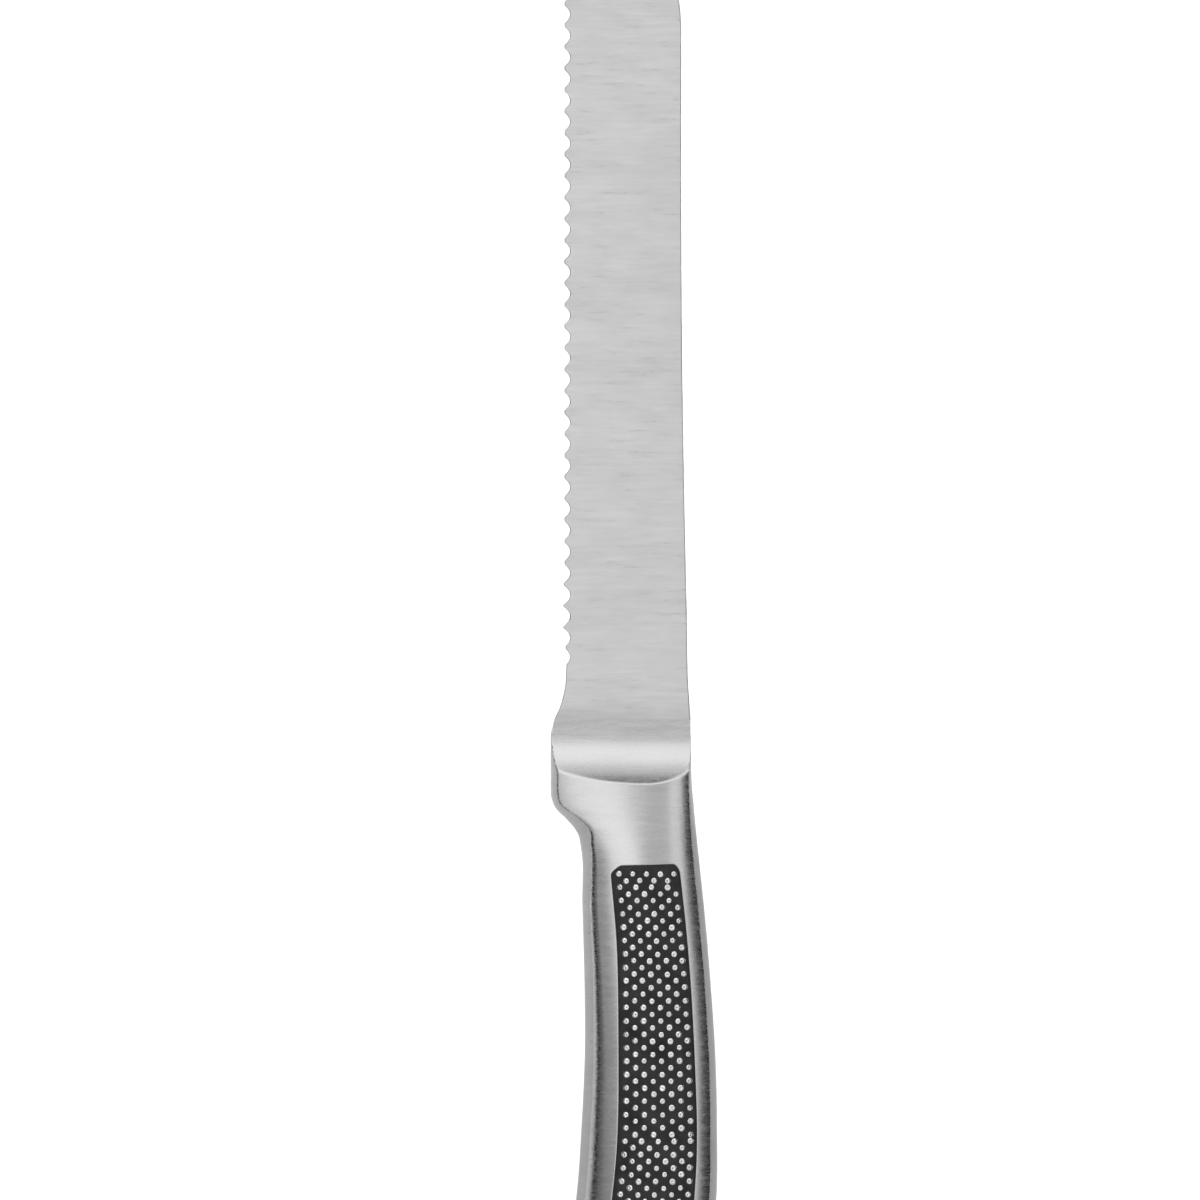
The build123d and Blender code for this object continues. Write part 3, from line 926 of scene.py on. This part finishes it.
def new_material(name):
    """A node material with one shader, and that shader."""
    material = bpy.data.materials.new(name)
    material.use_nodes = True
    nodes = material.node_tree.nodes
    nodes.clear()
    shader = nodes.new("ShaderNodeBsdfPrincipled")
    output = nodes.new("ShaderNodeOutputMaterial")
    material.node_tree.links.new(shader.outputs[0], output.inputs[0])
    return material, shader


def noise(material, scale, stretch, detail=4.0, roughness=0.6):
    """Noise in the object's own coordinates, stretched along some axes."""
    nodes = material.node_tree.nodes
    links = material.node_tree.links
    coordinates = nodes.new("ShaderNodeTexCoord")
    mapping = nodes.new("ShaderNodeMapping")
    mapping.inputs["Scale"].default_value = stretch
    texture = nodes.new("ShaderNodeTexNoise")
    texture.inputs["Scale"].default_value = scale
    texture.inputs["Detail"].default_value = detail
    texture.inputs["Roughness"].default_value = roughness
    links.new(coordinates.outputs["Object"], mapping.inputs["Vector"])
    links.new(mapping.outputs["Vector"], texture.inputs["Vector"])
    return texture.outputs["Fac"]


def ramp(material, value, low, high, out_low, out_high):
    """A value mapped from one range to another."""
    node = material.node_tree.nodes.new("ShaderNodeMapRange")
    node.inputs["From Min"].default_value = low
    node.inputs["From Max"].default_value = high
    node.inputs["To Min"].default_value = out_low
    node.inputs["To Max"].default_value = out_high
    material.node_tree.links.new(value, node.inputs["Value"])
    return node.outputs["Result"]


def combine(material, operation, first, second):
    """Two values put together by one math operation."""
    node = material.node_tree.nodes.new("ShaderNodeMath")
    node.operation = operation
    for socket, value in zip(node.inputs, (first, second)):
        if isinstance(value, (int, float)):
            socket.default_value = value
        else:
            material.node_tree.links.new(value, socket)
    return node.outputs[0]


def tinted(material, value, dark, light):
    """A colour between two tints, or past them where the value leaves 0 to 1."""
    node = material.node_tree.nodes.new("ShaderNodeMix")
    node.data_type = "RGBA"
    node.clamp_factor = False
    node.inputs["A"].default_value = (*dark, 1)
    node.inputs["B"].default_value = (*light, 1)
    material.node_tree.links.new(value, node.inputs["Factor"])
    return node.outputs["Result"]


def bumped(material, shader, value, distance, strength=1.0):
    """Adds bump from a value, a distance in metres deep."""
    node = material.node_tree.nodes.new("ShaderNodeBump")
    node.inputs["Strength"].default_value = strength
    node.inputs["Distance"].default_value = distance
    material.node_tree.links.new(value, node.inputs["Height"])
    material.node_tree.links.new(node.outputs["Normal"], shader.inputs["Normal"])


def face_mark(material, name):
    """The value that a piece's faces carry under a name."""
    node = material.node_tree.nodes.new("ShaderNodeAttribute")
    node.attribute_name = name
    return node.outputs["Fac"]


def brushed_steel(name, grey, roughness, lines, anisotropy, grain_depth):
    """Satin steel with fine lines across the knife and faint clouding, and painted shade on the
    marked steep faces and the blade's heel.
    """
    material, shader = new_material(name)
    fine = noise(material, 1.0, (240, 2600, 900), 3.0, 0.65)
    streaks = noise(material, 1.0, (110, 1000, 400), 3.0, 0.6)
    clouds = noise(material, 1.0, (60, 110, 110), 3.0, 0.55)
    grain = combine(material, "ADD", combine(material, "MULTIPLY", fine, 0.5),
                    combine(material, "MULTIPLY", streaks, 0.5))
    tone = combine(material, "ADD", combine(material, "MULTIPLY", grain, 0.65),
                   combine(material, "MULTIPLY", clouds, 0.35))
    tone = ramp(material, tone, 0.36, 0.64, 0.0, 1.0)
    side = face_mark(material, "side")
    heel = face_mark(material, "heel")
    # painted shade: the marked steep faces and the blade's heel get a darker base colour
    for mark, tint in ((side, SIDE_PAINTED_SHADE), (heel, HEEL_PAINTED_SHADE)):
        darker = combine(material, "MULTIPLY", mark, 0.5 * tint / lines)
        tone = combine(material, "SUBTRACT", tone, darker)
    dark = grey * (1 - lines)
    light = grey * (1 + lines)
    colour = tinted(material, tone, (dark, dark, dark), (light, light, light))
    links = material.node_tree.links
    links.new(colour, shader.inputs["Base Color"])
    rough = ramp(material, grain, 0.35, 0.65, roughness - 0.05, roughness + 0.05)
    rough = combine(material, "ADD", rough, combine(material, "MULTIPLY", side, SIDE_ROUGHER))
    links.new(rough, shader.inputs["Roughness"])
    shader.inputs["Metallic"].default_value = 1.0
    shader.inputs["Anisotropic"].default_value = anisotropy
    tangent = material.node_tree.nodes.new("ShaderNodeTangent")
    tangent.direction_type = "UV_MAP"
    tangent.uv_map = "plan"
    links.new(tangent.outputs["Tangent"], shader.inputs["Tangent"])
    bumped(material, shader, grain, grain_depth)
    return material


def polished_steel():
    """Bright pressed studs with small wear marks."""
    material, shader = new_material("stud_steel")
    marks = noise(material, 2600.0, (1, 1, 1), 3.0, 0.6)
    links = material.node_tree.links
    tone = ramp(material, marks, 0.3, 0.7, 0.0, 1.0)
    links.new(tinted(material, tone, (0.5, 0.5, 0.5), (0.74, 0.74, 0.74)),
              shader.inputs["Base Color"])
    links.new(ramp(material, marks, 0.3, 0.7, 0.16, 0.3), shader.inputs["Roughness"])
    shader.inputs["Metallic"].default_value = 1.0
    bumped(material, shader, marks, 4e-6)
    return material


def black_rubber():
    """Matt black skin with a fine moulded grain."""
    material, shader = new_material("grip_black")
    grain = noise(material, 3800.0, (1, 1, 1), 4.0, 0.65)
    patches = noise(material, 240.0, (1, 1, 1), 2.0, 0.5)
    links = material.node_tree.links
    tone = ramp(material, combine(material, "MULTIPLY", grain, patches), 0.12, 0.4, 0.0, 1.0)
    links.new(tinted(material, tone, (0.008, 0.008, 0.0083), (0.026, 0.026, 0.0265)),
              shader.inputs["Base Color"])
    links.new(ramp(material, grain, 0.3, 0.7, 0.48, 0.7), shader.inputs["Roughness"])
    shader.inputs["Specular IOR Level"].default_value = 0.2
    bumped(material, shader, grain, 3e-5)
    return material


def cast_material(name, dark, light, roughness, metallic, size):
    """Cast surface with pores, for the pieces inside the handle."""
    material, shader = new_material(name)
    pores = noise(material, size, (1, 1, 1), 6.0, 0.7)
    links = material.node_tree.links
    tone = ramp(material, pores, 0.35, 0.65, 0.0, 1.0)
    links.new(tinted(material, tone, dark, light), shader.inputs["Base Color"])
    links.new(ramp(material, pores, 0.3, 0.7, roughness - 0.1, roughness + 0.1),
              shader.inputs["Roughness"])
    shader.inputs["Metallic"].default_value = metallic
    bumped(material, shader, pores, 1e-4)
    return material


# ---- the knife ----

blade_steel = brushed_steel("blade_steel", 0.542, 0.32, 0.08, 0.4, 5e-7)
handle_steel = brushed_steel("handle_steel", 0.45, 0.27, 0.05, 0.3, 2e-7)
stud_steel = polished_steel()
grip_black = black_rubber()

piece("knife_blade", blade(), blade_steel, ["blade"], sharp=25)
piece("knife_bolster", bolster(), handle_steel, ["bolster"])
shell_grids = shell()
slab_grids = panel_slab(INFILL_DEPTH, RECESS_DEPTH - PLATE_THICKNESS, 0.1, 0.02)
plate_grids = panel_slab(RECESS_DEPTH - PLATE_THICKNESS, RECESS_DEPTH, 0.0, 0.04) + studs()
for side, turned in (("left", lambda grid: grid), ("right", flipped)):
    piece(f"shell_{side}", [turned(grid) for grid in shell_grids],
          handle_steel, [f"handle_shell_{side}"])
    piece(f"grip_{side}", [turned(grid) for grid in slab_grids],
          grip_black, [f"grip_infill_{side}"])
    piece(f"studs_{side}", [turned(grid) for grid in plate_grids],
          stud_steel, [f"pip_plate_{side}"], sharp=60)
cast_resin = cast_material("resin", (0.2, 0.18, 0.13), (0.42, 0.39, 0.3), 0.6, 0.0, 700.0)
cast_metal = cast_material("cast_weight", (0.08, 0.08, 0.085), (0.26, 0.26, 0.27), 0.55, 1.0, 500.0)
piece("resin_block", resin(), cast_resin, ["tang_resin"])
piece("butt_weight", weight(), cast_metal, ["balance_weight"])


# ---- floor, light and camera ----

def floor():
    """A plain pale surface under the knife."""
    bm = bmesh.new()
    bmesh.ops.create_grid(bm, x_segments=2, y_segments=2, size=6.0)
    mesh = bpy.data.meshes.new("floor")
    bm.to_mesh(mesh)
    bm.free()
    material, shader = new_material("floor_white")
    mottle = noise(material, 9.0, (1, 1, 1), 2.0, 0.5)
    links = material.node_tree.links
    links.new(tinted(material, mottle, (0.88, 0.88, 0.88), (0.92, 0.92, 0.92)),
              shader.inputs["Base Color"])
    shader.inputs["Roughness"].default_value = 0.9
    shader.inputs["Specular IOR Level"].default_value = 0.1
    mesh.materials.append(material)
    made = bpy.data.objects.new("floor", mesh)
    bpy.context.scene.collection.objects.link(made)
    made.location.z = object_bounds()[0].z - 0.0002
    made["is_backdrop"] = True


BOX_HEIGHT = 2.0
# name, x range, y range and radiance of each soft box over the knife, in metres
BOXES = [
    ("low_box", (-7.0, -2.4), (-0.9, 1.1), 0.24),
    ("edge_box", (-2.4, -1.2), (-0.9, 1.1), 0.46),
    ("left_box", (-1.2, -0.2), (-0.9, 1.1), 1.75),
    ("middle_box", (-0.2, 1.3), (-0.9, 1.1), 0.86),
    ("right_box", (1.3, 2.65), (-0.9, 1.1), 1.38),
    ("far_box", (-1.5, 2.2), (1.1, 3.4), 1.8),
    ("horizon_box", (-8.0, 8.0), (3.4, 12.0), 1.12),
    ("rear_box", (-3.0, 3.0), (-3.4, -0.9), 0.8),
    ("rear_horizon", (-8.0, 8.0), (-12.0, -3.4), 0.9),
]
FLOOR_RADIANCE = 2.45
WORLD_GREY = 0.015


def softbox(name, x_range, y_range, height, radiance, lights_knife=True):
    """A level soft box facing down that gives the stated radiance, unseen by the camera."""
    light = bpy.data.lights.new(name, "AREA")
    light.shape = "RECTANGLE"
    light.size = x_range[1] - x_range[0]
    light.size_y = y_range[1] - y_range[0]
    light.energy = radiance * math.pi * light.size * light.size_y
    light.cycles.use_multiple_importance_sampling = lights_knife
    made = bpy.data.objects.new(name, light)
    bpy.context.scene.collection.objects.link(made)
    made.location = (sum(x_range) / 2, sum(y_range) / 2, height)
    made.visible_camera = False
    made.visible_glossy = lights_knife
    made.visible_diffuse = not lights_knife


def lights():
    """Soft boxes over the knife, and one that only lights the floor."""
    softbox("floor_light", (-2.5, 2.5), (-2.5, 2.5), 3.0, FLOOR_RADIANCE, lights_knife=False)
    for name, x_range, y_range, radiance in BOXES:
        softbox(name, x_range, y_range, BOX_HEIGHT, radiance)
    world = bpy.data.worlds.new("studio")
    world.use_nodes = True
    background = world.node_tree.nodes["Background"]
    background.inputs["Color"].default_value = (WORLD_GREY, WORLD_GREY, WORLD_GREY, 1)
    background.inputs["Strength"].default_value = 1.0
    bpy.context.scene.world = world


CAMERA_CENTRE = (-5.875, 31.7)     # the picture's middle on the knife's mid-plane
VIEW_SIZE = 282.0                  # what the picture spans there
LENS = 200.0
SENSOR = 36.0


def camera():
    """Straight above the knife, with the blade's tip and the butt outside the picture."""
    data = bpy.data.cameras.new("camera")
    data.lens = LENS
    data.sensor_width = SENSOR
    made = bpy.data.objects.new("camera", data)
    bpy.context.scene.collection.objects.link(made)
    made.location = to_frame([*CAMERA_CENTRE, VIEW_SIZE * LENS / SENSOR])
    bpy.context.scene.camera = made


floor()
lights()
camera()
bpy.context.scene.view_settings.view_transform = "Standard"
